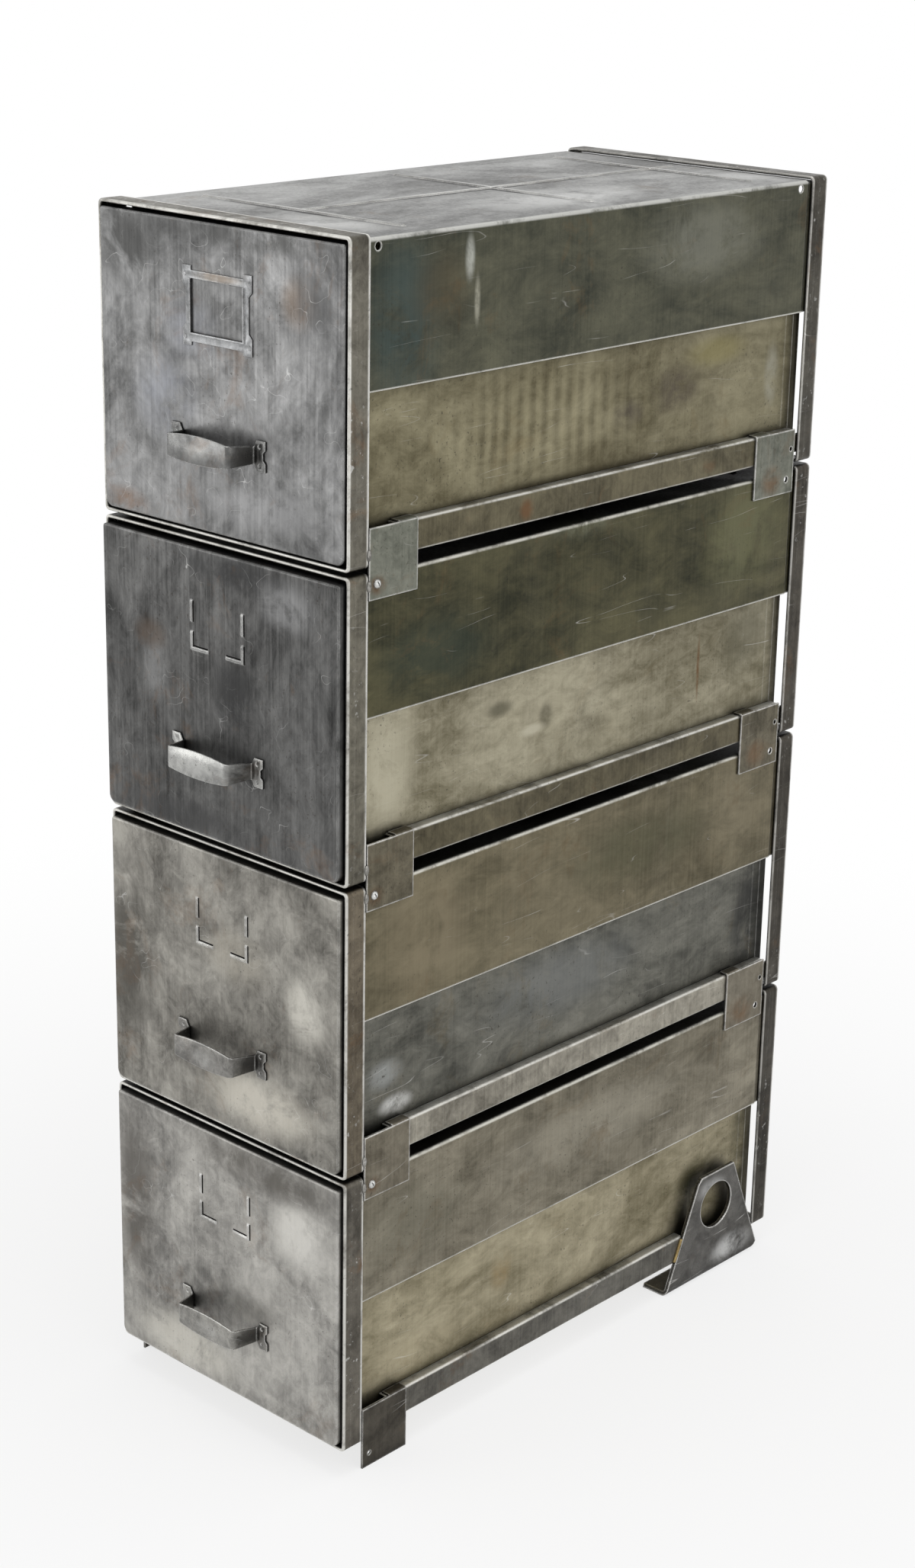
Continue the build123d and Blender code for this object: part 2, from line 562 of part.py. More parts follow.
def save(name, shape, tier=TIERS, forward=0.0):
    """Write one sub-part where it stands in the stack."""
    placed = Pos(0, -MIDDLE_Y - forward, tier_floor(tier)) * shape
    export_step(placed, f"parts/{name}.step")


def build_case():
    """Write every fixed piece of the four tiers."""
    front, rear = strip_frame(0, FRONT_STRIP_DEPTH), strip_frame(REAR_START, REAR_STRIP_DEPTH)
    cover = hood()
    rails = both_sides(rail())
    bottom_rails = both_sides(notched_rail())
    plates = both_sides(front_plate(SCREW_HOLE_RADIUS))
    feet = both_sides(front_plate(FOOT_HOLE_RADIUS))
    rear_plates = both_sides(rear_plate())
    brackets = both_sides(foot_bracket())
    for tier in range(1, TIERS + 1):
        last = tier == TIERS
        save(f"front_frame_{tier}", front, tier)
        save(f"rear_frame_{tier}", rear, tier)
        save(f"hood_{tier}", cover, tier)
        for side in ("left", "right"):
            save(f"rail_{side}_{tier}", (bottom_rails if last else rails)[side], tier)
            if last:
                save(f"front_foot_{side}", feet[side], tier)
                save(f"rear_foot_{side}", brackets[side], tier)
            else:
                save(f"front_plate_{side}_{tier}", plates[side], tier)
                save(f"rear_plate_{side}_{tier}", rear_plates[side], tier)


def build_fasteners():
    """Write the stacking screws, their nuts and the braze, each kind as one group."""
    screws, nuts = [], []
    for tier in range(1, TIERS):
        lift = tier_floor(tier) - tier_floor(TIERS)
        at = Pos(0, STACK_HOLE_FRONT, PLATE_HOLE_Z + lift)
        screws += both_sides(at * Pos(PLATE_FACE, 0, 0) * screw()).values()
        nuts += both_sides(at * Pos(SEAT - HOOD_SHEET, 0, 0) * nut()).values()
    save("stacking_screws", Compound(children=screws))
    save("stacking_nuts", Compound(children=nuts))
    save("foot_braze", Compound(children=list(both_sides(braze()).values())))


def build_drawers():
    """Write the four drawers, each standing out of the case as far as it does at rest."""
    plain, marked = drawer_face(), drawer_face() + card_tongues()
    box, handle = tray(), pull()
    for tier, forward in enumerate(REST_OPEN, start=1):
        save(f"drawer_face_{tier}", plain if tier == 1 else marked, tier, forward)
        save(f"drawer_tray_{tier}", box, tier, forward)
        save(f"drawer_pull_{tier}", handle, tier, forward)
    save("label_holder", label_holder(), 1, REST_OPEN[0])


os.makedirs("parts", exist_ok=True)
build_case()
build_fasteners()
build_drawers()
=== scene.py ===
import math

import bpy
from mathutils import Matrix, Vector


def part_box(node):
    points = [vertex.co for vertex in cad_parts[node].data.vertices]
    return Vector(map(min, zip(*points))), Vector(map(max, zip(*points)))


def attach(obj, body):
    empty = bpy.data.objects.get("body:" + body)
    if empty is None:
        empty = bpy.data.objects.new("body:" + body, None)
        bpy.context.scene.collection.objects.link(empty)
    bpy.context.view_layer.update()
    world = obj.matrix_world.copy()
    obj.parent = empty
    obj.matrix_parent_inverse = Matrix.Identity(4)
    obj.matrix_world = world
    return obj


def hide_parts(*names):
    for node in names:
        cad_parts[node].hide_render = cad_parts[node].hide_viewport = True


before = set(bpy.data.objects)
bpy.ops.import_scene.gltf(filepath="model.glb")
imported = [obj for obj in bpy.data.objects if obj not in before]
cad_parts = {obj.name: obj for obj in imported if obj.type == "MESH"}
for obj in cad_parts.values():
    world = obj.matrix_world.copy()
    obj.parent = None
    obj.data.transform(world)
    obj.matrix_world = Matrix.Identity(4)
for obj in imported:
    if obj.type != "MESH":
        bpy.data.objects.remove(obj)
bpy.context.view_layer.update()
scene = bpy.context.scene


# ---- the studio ----------------------------------------------------------------------------------
# A pale floor under a white sweep.  Camera, mirror and glass rays see plain white, soft lamps light
# the steel from the front left, from the right and from above, and the floor keeps the shadow.

scene.view_settings.view_transform = "Standard"

bpy.ops.object.select_all(action="DESELECT")
lens = bpy.data.cameras.new("photographer")
lens.sensor_width = 36.0
lens.lens = 63.743
lens.clip_end = 80.0
camera = bpy.data.objects.new("photographer", lens)
scene.collection.objects.link(camera)
right = Vector((0.730898, 0.682242, 0.018294))
up = Vector((-0.237606, 0.229240, 0.943924))
back = Vector((0.639791, -0.694259, 0.329656))
stand = Matrix((right, up, back)).transposed().to_4x4()
stand.translation = (1.77826, -1.92823, 1.50376)
camera.matrix_world = stand
scene.camera = camera


def put(tree, kind, inputs=(), out=0, **settings):
    """Add a shader node, set its options, then set or join its inputs; returns one output."""
    node = tree.nodes.new("ShaderNode" + kind)
    for option, value in settings.items():
        setattr(node, option, value)
    for socket, value in dict(inputs).items():
        if isinstance(value, bpy.types.NodeSocket):
            tree.links.new(value, node.inputs[socket])
        else:
            node.inputs[socket].default_value = value
    return node.outputs[out]


def background_rays(tree):
    """1 for rays from the camera, or mirrored or passed through glass, else 0."""
    path = put(tree, "LightPath").node
    seen = put(tree, "Math", {0: path.outputs["Is Camera Ray"], 1: path.outputs["Is Glossy Ray"]},
               operation="MAXIMUM")
    return put(tree, "Math", {0: seen, 1: path.outputs["Is Transmission Ray"]}, operation="MAXIMUM")


WHITE = (1.0, 1.0, 1.0, 1.0)
ROOM_LIGHT = 0.62               # the world's strength for rays that light the steel
FLOOR_SIZE = 60.0
TURNS_WHITE = (0.45, 1.6)       # between these distances from the middle the floor turns plain white
NEAR_WHITE = 0.74               # share of plain white in the floor beside the part

sweep = bpy.data.worlds.new("white_sweep")
sweep.use_nodes = True
sweep.node_tree.nodes.clear()
room_light = put(sweep.node_tree, "Background", {"Color": WHITE, "Strength": ROOM_LIGHT})
white = put(sweep.node_tree, "Background", {"Color": WHITE, "Strength": 1.0})
seen_world = put(sweep.node_tree, "MixShader",
                 {0: background_rays(sweep.node_tree), 1: room_light, 2: white})
world_output = sweep.node_tree.nodes.new("ShaderNodeOutputWorld")
sweep.node_tree.links.new(seen_world, world_output.inputs["Surface"])
scene.world = sweep

bpy.ops.mesh.primitive_plane_add(size=FLOOR_SIZE, location=(0.0, 0.0, 0.0))
floor = bpy.context.object
floor.name = "floor"
floor_paint = bpy.data.materials.new("pale_floor")
floor_paint.use_nodes = True
tree = floor_paint.node_tree
tree.nodes.clear()
matt = put(tree, "BsdfDiffuse", {"Color": (0.93, 0.93, 0.93, 1.0)})
glow = put(tree, "Emission", {"Color": WHITE, "Strength": 1.0})
spot = put(tree, "TexCoord", out="Object")
away = put(tree, "VectorMath", {0: spot}, out="Value", operation="LENGTH")
whiter = put(tree, "MapRange", {"Value": away, "From Min": TURNS_WHITE[0], "From Max": TURNS_WHITE[1],
                                "To Min": NEAR_WHITE, "To Max": 1.0}, interpolation_type="SMOOTHSTEP")
share = put(tree, "Math", {0: background_rays(tree), 1: whiter}, operation="MULTIPLY")
floor_mix = put(tree, "MixShader", {0: share, 1: matt, 2: glow})
tree.links.new(floor_mix, tree.nodes.new("ShaderNodeOutputMaterial").inputs["Surface"])
floor.data.materials.append(floor_paint)


def soft_lamp(name, place, target, size, watts):
    """A square soft box aimed at a point."""
    light = bpy.data.lights.new(name, "AREA")
    light.size = size
    light.energy = watts
    lamp = bpy.data.objects.new(name, light)
    scene.collection.objects.link(lamp)
    lamp.location = place
    lamp.rotation_euler = (Vector(target) - Vector(place)).to_track_quat("-Z", "Y").to_euler()


soft_lamp("lamp_front_left", (-1.9, -2.7, 0.9), (0.0, -0.2, 0.55), 1.5, 15.0)
soft_lamp("lamp_right", (3.0, 0.6, 1.2), (0.1, 0.0, 0.6), 1.6, 16.0)
soft_lamp("lamp_above", (0.3, -0.2, 3.6), (0.0, 0.0, 1.1), 1.8, 30.0)


# ---- bare steel ----------------------------------------------------------------------------------
# Every piece is unpainted mild steel.  Rolling, brushing and years of handling left it cloudy, with brush
# lines, small pits, scratches, brown blooms of old rust and edges burnished bright.  The bright edges are
# also a painted highlight on their rounding, and corners and crevices get painted shade.


def soft_spot(tree, coords, centre, radii):
    """Mask of a soft-edged patch round a point, 1 in the middle and 0 outside."""
    moved = put(tree, "VectorMath", {0: coords, 1: centre}, operation="SUBTRACT")
    scaled = put(tree, "VectorMath", {0: moved, 1: radii}, operation="DIVIDE")
    away = put(tree, "VectorMath", {0: scaled}, out="Value", operation="LENGTH")
    return put(tree, "MapRange", {"Value": away, "From Min": 1.0, "From Max": 0.25},
               interpolation_type="SMOOTHSTEP")


def noise(tree, coords, scale, detail=4.0, rough=0.55, warp=0.0):
    """Plain fractal noise."""
    return put(tree, "TexNoise", {"Vector": coords, "Scale": scale, "Detail": detail,
                                  "Roughness": rough, "Distortion": warp})


def between(tree, value, low, high, to_low=0.0, to_high=1.0):
    """Rescale a value, clamped at both ends."""
    return put(tree, "MapRange", {"Value": value, "From Min": low, "From Max": high,
                                  "To Min": to_low, "To Max": to_high})


def times(tree, a, b):
    """Product of two numbers."""
    return put(tree, "Math", {0: a, 1: b}, operation="MULTIPLY")


def plus(tree, a, b):
    """Sum of two numbers."""
    return put(tree, "Math", {0: a, 1: b}, operation="ADD")


MIX_SHARE, MIX_UNDER, MIX_OVER = 0, 6, 7    # the Mix node's colour inputs, whose names repeat
MIX_RESULT = 2


def tint(tree, share, under, over):
    """Lay one colour over another."""
    node = put(tree, "Mix", data_type="RGBA").node
    for socket, value in ((MIX_SHARE, share), (MIX_UNDER, under), (MIX_OVER, over)):
        if isinstance(value, bpy.types.NodeSocket):
            tree.links.new(value, node.inputs[socket])
        elif socket == MIX_SHARE:
            node.inputs[socket].default_value = value
        else:
            node.inputs[socket].default_value = (*value, 1.0)
    return node.outputs[MIX_RESULT]


PIT_SHADE = (0.03, 0.024, 0.018)
FLECK_SHADE = (0.55, 0.55, 0.53)
CREVICE_SHADE_SHARE = 0.12              # painted shade in corners and crevices has this share of the steel's dark tone
LOOKUPS = 6                     # rays of each Ambient Occlusion and Bevel lookup


def bare_steel(name, dark, light, seed=0.0, brush=(170.0, 170.0, 5.0), cloud=7.0, patches=(),
               rust=0.25, rust_colour=(0.17, 0.095, 0.045), flecks=0.0, scratches=0.35, streaky=0.2,
               edge=(0.80, 0.79, 0.76), edge_wear_and_highlight=1.0, edge_width=0.0028, crevice_shade=0.85, top=None,
               ripples=(), rough=(0.34, 0.56), dents=0.3, stretch=(1.0, 1.0, 1.0)):
    """Worn mild steel between two tones, brushed along the axis with the small number.

    A patch is (centre, radii, shade, strength) and a ripple is (centre, radii, period, strength).
    """
    steel = bpy.data.materials.new(name)
    steel.use_nodes = True
    tree = steel.node_tree
    tree.nodes.clear()
    here = put(tree, "TexCoord", out="Object")
    moved = put(tree, "Mapping", {"Vector": here, "Location": (seed * 1.7, seed * 2.3, seed * 0.9)})
    drawn = put(tree, "Mapping", {"Vector": moved, "Scale": stretch})
    # tone: clouds, mottle and brush lines
    clouds = between(tree, noise(tree, drawn, cloud, 6.0, 0.62, 0.9), 0.39, 0.61)
    mottle = between(tree, noise(tree, drawn, cloud * 6.0, 7.0, 0.74, 0.5), 0.38, 0.62)
    lines = put(tree, "Mapping", {"Vector": moved, "Scale": brush})
    streaks = between(tree, noise(tree, lines, 1.0, 4.0, 0.65), 0.30, 0.70)
    tone = plus(tree, times(tree, clouds, 0.58 - streaky),
                plus(tree, times(tree, mottle, 0.42), times(tree, streaks, streaky)))
    colour = tint(tree, tone, dark, light)
    # the upper side gets tones of its own, chosen by which way the face looks: painted light and shade
    if top:
        facing = put(tree, "NewGeometry", out="Normal")
        level = put(tree, "SeparateXYZ", {0: facing}, out="Z")
        upper = tint(tree, tone, top[0], top[1])
        colour = tint(tree, between(tree, level, 0.4, 0.8), colour, upper)
    # patches with ragged edges: stains and rubbing, and some painted shade and highlight; then ripples
    # pressed into the sheet, their bands also painted lighter as a painted highlight
    ragged = between(tree, noise(tree, moved, 16.0, 7.0, 0.72, 0.6), 0.33, 0.52)
    for centre, radii, shade, strength in patches:
        spot = soft_spot(tree, here, centre, radii)
        mask = times(tree, times(tree, spot, ragged), strength)
        colour = tint(tree, mask, colour, shade)
    height = times(tree, mottle, 0.15)
    for centre, radii, period, strength in ripples:
        bands = put(tree, "TexWave", {"Vector": here, "Scale": math.pi / (10.0 * period),
                                      "Distortion": 3.0, "Detail": 2.0, "Detail Scale": 0.35},
                    out="Fac", bands_direction="Y")
        spot = soft_spot(tree, here, centre, radii)
        wave = times(tree, times(tree, bands, spot), strength)
        colour = tint(tree, wave, colour, tuple(min(1.0, c * 1.9) for c in light))
        height = plus(tree, height, wave)
    # old rust, pits and flecks of paint
    bloom = between(tree, noise(tree, moved, 13.0, 8.0, 0.74, 0.6), 0.57, 0.70)
    colour = tint(tree, times(tree, bloom, rust), colour, rust_colour)
    pits = between(tree, noise(tree, moved, 330.0, 2.0, 0.5), 0.64, 0.72)
    pit_zone = between(tree, noise(tree, moved, 11.0, 3.0, 0.5), 0.42, 0.62)
    colour = tint(tree, times(tree, times(tree, pits, pit_zone), 0.6), colour, PIT_SHADE)
    if flecks:
        chips = between(tree, noise(tree, moved, 150.0, 4.0, 0.62), 0.62, 0.67)
        chip_zone = between(tree, noise(tree, moved, 9.0, 4.0, 0.6), 0.46, 0.62)
        colour = tint(tree, times(tree, times(tree, chips, chip_zone), flecks), colour, FLECK_SHADE)
    # fine scratches, drawn where a slow noise crosses its middle
    long_way = put(tree, "Mapping", {"Vector": moved, "Rotation": (0.5, 0.35, 0.2),
                                     "Scale": (14.0, 1.6, 17.0)})
    wander = noise(tree, long_way, 2.4, 1.5, 0.4)
    from_line = put(tree, "Math", {0: wander, 1: 0.5}, operation="SUBTRACT")
    near = put(tree, "Math", {0: from_line}, operation="ABSOLUTE")
    scratch = between(tree, near, 0.003, 0.0)
    scratch = times(tree, scratch, between(tree, noise(tree, moved, 21.0, 2.0), 0.52, 0.64))
    colour = tint(tree, times(tree, scratch, scratches), colour, edge)
    # painted shade in the corners and crevices, from an occlusion lookup, then edges painted bright: partly
    # wear, partly a painted highlight on their rounding
    open_air = put(tree, "AmbientOcclusion", {"Distance": 0.026}, out="AO", samples=LOOKUPS)
    crevice_shade_mask = between(tree, open_air, 0.85, 0.35)
    colour = tint(tree, times(tree, crevice_shade_mask, crevice_shade), colour, tuple(CREVICE_SHADE_SHARE * c for c in dark))
    rounded = put(tree, "Bevel", {"Radius": edge_width}, samples=LOOKUPS)
    plain = put(tree, "NewGeometry", out="Normal")
    along = put(tree, "VectorMath", {0: rounded, 1: plain}, out="Value", operation="DOT_PRODUCT")
    # edges painted bright: burnished wear together with a painted highlight
    worn_and_lit_edges = times(tree, between(tree, along, 0.985, 0.86), between(tree, open_air, 0.35, 0.6))
    worn_and_lit_edges = times(tree, worn_and_lit_edges, between(tree, mottle, 0.0, 0.7, 0.45, 1.0))
    colour = tint(tree, times(tree, worn_and_lit_edges, edge_wear_and_highlight), colour, edge)
    # sheen and relief
    sheen = between(tree, plus(tree, times(tree, clouds, 0.5), times(tree, streaks, 0.5)), 0.2, 0.8,
                    rough[1], rough[0])
    sheen = plus(tree, sheen, times(tree, bloom, 0.2 * rust))
    height = plus(tree, height, times(tree, streaks, 0.25 * streaky))
    height = plus(tree, height, times(tree, pits, -0.12))
    small = put(tree, "Bump", {"Strength": 0.35, "Distance": 0.0006, "Height": height,
                               "Normal": rounded})
    sag = noise(tree, moved, 5.0, 2.0, 0.4, 0.6)
    normal = put(tree, "Bump", {"Strength": dents, "Distance": 0.02, "Height": sag,
                                "Normal": small})
    surface = put(tree, "BsdfPrincipled", {"Base Color": colour, "Metallic": 0.85,
                                           "Roughness": sheen, "Normal": normal})
    tree.links.new(surface, tree.nodes.new("ShaderNodeOutputMaterial").inputs["Surface"])
    return steel


# Each table of tones below gives a tier's dark and light tone; tier 1 is the top one.


def finish(mesh, steel):
    """Give a mesh one finish in place of any that it has."""
    mesh.materials.clear()
    mesh.materials.append(steel)


def finish_node(node, steel):
    """Give a CAD piece its finish."""
    finish(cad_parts[node].data, steel)


ALONG_X = (5.0, 150.0, 150.0)
ALONG_Z = (310.0, 310.0, 6.0)


# ---- strip frames --------------------------------------------------------------------------------
# Closed frames of flat strip, hemmed along their front edge, two to a tier.  They are bent to
# shape and welded at the bottom; handling has left them brown-grey with chips of old white paint.

ENDLESS = 10.0                  # a patch radius that reaches beyond the part


def edge_highlight_lines(node, axis, width, shade, strength):
    """Bright lines painted along the two borders of a piece that face an axis: partly rubbed wear, partly a
    painted highlight on the rounded edges.
    """
    marks = []
    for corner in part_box(node):
        radii = [ENDLESS, ENDLESS, ENDLESS]
        radii[axis] = width
        marks.append((tuple(corner), tuple(radii), shade, strength))
    return marks


front_tones = {
    1: ((0.045, 0.04, 0.031), (0.19, 0.178, 0.145)),
    2: ((0.055, 0.05, 0.038), (0.21, 0.195, 0.155)),
    3: ((0.05, 0.04, 0.028), (0.19, 0.16, 0.115)),
    4: ((0.035, 0.031, 0.024), (0.16, 0.145, 0.12))}
rear_tones = {
    1: ((0.025, 0.022, 0.017), (0.10, 0.092, 0.075)),
    2: ((0.022, 0.019, 0.015), (0.09, 0.08, 0.063)),
    3: ((0.02, 0.017, 0.013), (0.08, 0.071, 0.056)),
    4: ((0.02, 0.017, 0.013), (0.075, 0.067, 0.053))}
for tier in (1, 2, 3, 4):
    dark, light = front_tones[tier]
    finish_node(f"front_frame_{tier}", bare_steel(
        f"front_strip_steel_{tier}", dark, light, seed=tier, brush=ALONG_Z, cloud=11.0, flecks=0.75,
        rust=0.5, patches=edge_highlight_lines(f"front_frame_{tier}", 1, 0.0032, (0.66, 0.65, 0.61), 0.95)))
    dark, light = rear_tones[tier]
    finish_node(f"rear_frame_{tier}", bare_steel(
        f"rear_strip_steel_{tier}", dark, light, seed=tier + 5, brush=ALONG_Z, cloud=11.0, flecks=0.6,
        rust=0.4, patches=edge_highlight_lines(f"rear_frame_{tier}", 1, 0.0028, (0.46, 0.45, 0.42), 0.75)))


# ---- hoods ---------------------------------------------------------------------------------------
# Covers of thin sheet: a top with pressed stiffening beads and two skirts, tucked into the frames and
# spot-welded there.  Their sides went dark olive.  The top tier's top is rubbed pale and also painted
# lighter as lit from above; the lower tiers' tops are painted shade under the tier above.  Painted
# highlights run along the skirts' lower edges and the tops' edges, and each bead has a painted shadow and
# highlight.

FLOOR_OF_TIER = {1: 0.8925, 2: 0.6045, 3: 0.3165, 4: 0.0285}
SKIRT_EDGE = 0.152              # the skirts' lower edge, above the tier's floor
CROSS_BEADS = (-0.216, 0.032, 0.267)
BEAD_SHADOW = (0.02, 0.02, 0.019)
RUBBED_AND_LIT_LID = ((0.09, 0.09, 0.087), (0.37, 0.37, 0.36))
SHADED_LID = ((0.02, 0.018, 0.015), (0.07, 0.065, 0.055))
hood_tones = {
    1: ((0.026, 0.029, 0.021), (0.115, 0.112, 0.075)),
    2: ((0.02, 0.021, 0.011), (0.105, 0.096, 0.05)),
    3: ((0.055, 0.047, 0.025), (0.20, 0.172, 0.11)),
    4: ((0.10, 0.088, 0.062), (0.33, 0.30, 0.23))}
hood_marks = {
    1: [((0.157, -0.166, 1.145), (0.05, 0.008, 0.026), (0.42, 0.43, 0.39), 0.8),
        ((0.157, -0.156, 1.108), (0.05, 0.005, 0.028), (0.36, 0.35, 0.28), 0.7),
        ((0.157, -0.245, 1.10), (0.05, 0.06, 0.10), (0.045, 0.065, 0.06), 0.8),
        ((0.157, -0.20, 1.12), (0.05, 0.05, 0.05), (0.07, 0.055, 0.03), 0.5),
        ((0.157, 0.16, 1.13), (0.05, 0.12, 0.05), (0.19, 0.19, 0.155), 0.6),
        ((0.087, 0.03, 1.173), (0.07, 0.16, 0.05), (0.52, 0.52, 0.51), 0.8),
        ((0.07, -0.25, 1.173), (0.08, 0.05, 0.05), (0.50, 0.50, 0.49), 0.8),
        ((-0.05, 0.0, 1.173), (0.07, 0.16, 0.05), (0.13, 0.13, 0.125), 0.8),
        ((-0.05, 0.30, 1.173), (0.09, 0.12, 0.05), (0.11, 0.11, 0.105), 0.9),
        ((0.10, 0.29, 1.173), (0.05, 0.04, 0.05), (0.50, 0.50, 0.49), 0.7)],
    2: [((0.157, -0.004, 0.895), (0.05, 0.06, 0.03), (0.27, 0.28, 0.20), 0.55),
        ((0.157, -0.20, 0.80), (0.05, 0.10, 0.05), (0.025, 0.035, 0.025), 0.7),
        ((0.157, 0.24, 0.83), (0.05, 0.09, 0.07), (0.14, 0.14, 0.07), 0.6)],
    3: [((0.157, -0.21, 0.53), (0.05, 0.08, 0.08), (0.22, 0.185, 0.12), 0.7),
        ((0.157, 0.10, 0.54), (0.05, 0.14, 0.05), (0.10, 0.095, 0.055), 0.7)],
    4: [((0.157, 0.05, 0.25), (0.05, 0.20, 0.05), (0.36, 0.335, 0.27), 0.5),
        ((0.157, -0.22, 0.24), (0.05, 0.10, 0.06), (0.17, 0.16, 0.12), 0.6)]}
for tier in (1, 2, 3, 4):
    dark, light = hood_tones[tier]
    # the tops' tones: rubbed and painted lighter as lit from above on the top tier, painted shade under the
    # tier above on the others
    lid = RUBBED_AND_LIT_LID if tier == 1 else SHADED_LID
    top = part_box(f"hood_{tier}")[1]
    # painted highlights along the skirt's lower edge and along the top's edge
    painted_highlights_and_shadows = [((top.x, 0.0, FLOOR_OF_TIER[tier] + SKIRT_EDGE), (0.02, ENDLESS, 0.0018),
             (0.52, 0.51, 0.45), 0.9)]
    if tier > 1:
        painted_highlights_and_shadows.append(((top.x - 0.0015, 0.0, top.z - 0.0025), (0.0035, ENDLESS, 0.0026),
                     (0.60, 0.59, 0.53), 1.0))
    else:
        painted_highlights_and_shadows.append(((top.x - 0.001, 0.0, top.z - 0.0025), (0.004, ENDLESS, 0.003),
                     (0.55, 0.55, 0.52), 0.9))
        # a painted shadow and a painted highlight beside each pressed bead
        for bead in CROSS_BEADS:
            painted_highlights_and_shadows.append(((0.0, bead - 0.0065, top.z), (0.15, 0.0062, 0.01), BEAD_SHADOW, 1.0))
            painted_highlights_and_shadows.append(((0.0, bead + 0.0015, top.z), (0.15, 0.0045, 0.01), (0.50, 0.50, 0.485), 0.9))
        painted_highlights_and_shadows.append(((0.006, 0.03, top.z), (0.0035, 0.29, 0.01), BEAD_SHADOW, 1.0))
        painted_highlights_and_shadows.append(((0.0, 0.03, top.z), (0.003, 0.29, 0.01), (0.58, 0.58, 0.56), 0.8))
    finish_node(f"hood_{tier}", bare_steel(
        f"hood_sheet_{tier}", dark, light, seed=tier + 10, brush=ALONG_Z, cloud=6.0, streaky=0.12, rust=0.4,
        rust_colour=(0.13, 0.085, 0.04), top=lid, patches=hood_marks[tier] + painted_highlights_and_shadows,
        stretch=(1.0, 0.55, 1.1)))


# ---- rails ---------------------------------------------------------------------------------------
# Channels folded from sheet.  The drawer slides on the lower flange, and the web and top ledge hold
# it in line.  They are welded to the frames, and the bottom pair is notched round the rear feet.

rail_tones = {
    1: ((0.045, 0.039, 0.023), (0.165, 0.145, 0.09)),
    2: ((0.04, 0.034, 0.02), (0.15, 0.13, 0.08)),
    3: ((0.11, 0.10, 0.08), (0.42, 0.395, 0.33)),
    4: ((0.045, 0.042, 0.036), (0.17, 0.162, 0.14))}
for tier in (1, 2, 3, 4):
    dark, light = rail_tones[tier]
    spots = [((0.157, -0.084, 0.911), (0.02, 0.013, 0.014), (0.13, 0.068, 0.03), 0.9),
             ((0.157, 0.183, 0.911), (0.02, 0.014, 0.010), (0.12, 0.068, 0.032), 0.7)] if tier == 1 else []
    # painted highlights along the rail's top and bottom edges, partly rubbed wear
    spots += edge_highlight_lines(f"rail_right_{tier}", 2, 0.0026, (0.70, 0.69, 0.64), 1.0)
    rail_steel = bare_steel(f"rail_sheet_{tier}", dark, light, seed=tier + 20, brush=ALONG_Z, cloud=9.0,
                            rust=0.4, edge=(0.85, 0.84, 0.80), patches=spots)
    for side in ("left", "right"):
        finish_node(f"rail_{side}_{tier}", rail_steel)


# ---- connector plates and front feet -------------------------------------------------------------
# Flat plates beside the rails, with a tab folded over the rail's ledge.  They hang over the hood of
# the tier below and are screwed to it at the front; on the bottom tier they are the front feet.

plate_tones = {
    1: ((0.085, 0.09, 0.072), (0.22, 0.225, 0.185)),
    2: ((0.055, 0.048, 0.032), (0.17, 0.15, 0.105)),
    3: ((0.085, 0.073, 0.052), (0.22, 0.197, 0.15))}
for tier in (1, 2, 3):
    dark, light = plate_tones[tier]
    low = FLOOR_OF_TIER[tier]
    spots = [((0.158, 0.283, low - 0.012), (0.02, 0.022, 0.020), (0.15, 0.085, 0.04), 0.7),
             ((0.158, -0.277, low - 0.016), (0.02, 0.014, 0.012), (0.10, 0.05, 0.02), 0.8)]
    plate_steel = bare_steel(f"plate_steel_{tier}", dark, light, seed=tier + 30, brush=ALONG_Z, cloud=14.0,
                             rust=0.35, patches=spots)
    for side in ("left", "right"):
        finish_node(f"front_plate_{side}_{tier}", plate_steel)
        finish_node(f"rear_plate_{side}_{tier}", plate_steel)
foot_steel = bare_steel("front_foot_steel", (0.028, 0.024, 0.018), (0.085, 0.075, 0.058), seed=41,
                        brush=ALONG_Z, cloud=14.0, rust=0.4, edge_wear_and_highlight=0.6)
for side in ("left", "right"):
    finish_node(f"front_foot_{side}", foot_steel)


# ---- rear feet -----------------------------------------------------------------------------------
# Heavy plate brackets with a lifting hole, a flange turned in on the floor, and a bead of braze up
# the joint with the rail.  Grinding left bright patches on the dark scale.

bracket_steel = bare_steel(
    "rear_foot_plate", (0.035, 0.033, 0.030), (0.13, 0.125, 0.115), seed=50, brush=(60.0, 22.0, 60.0),
    cloud=16.0, rust=0.15, edge_wear_and_highlight=0.9, scratches=0.9, rough=(0.24, 0.5),
    patches=[((0.16, 0.285, 0.02), (0.05, 0.045, 0.022), (0.55, 0.55, 0.54), 0.85),
             ((0.16, 0.245, 0.105), (0.05, 0.03, 0.016), (0.50, 0.50, 0.49), 0.6)])
for side in ("left", "right"):
    finish_node(f"rear_foot_{side}", bracket_steel)
finish_node("foot_braze", bare_steel(
    "braze_metal", (0.20, 0.13, 0.05), (0.52, 0.39, 0.17), seed=55, cloud=60.0, rust=0.3,
    edge=(0.7, 0.58, 0.3), edge_wear_and_highlight=0.3))


# ---- stacking screws and nuts --------------------------------------------------------------------
# Slotted round-head screws, bright zinc, through the front plates into square nuts inside the hood.

zinc = bare_steel("bright_zinc", (0.38, 0.38, 0.37), (0.72, 0.72, 0.70), seed=60, cloud=90.0, rust=0.15,
                  edge=(0.85, 0.85, 0.84), edge_wear_and_highlight=0.8, rough=(0.2, 0.35), dents=0.0)
finish_node("stacking_screws", zinc)
finish_node("stacking_nuts", zinc)
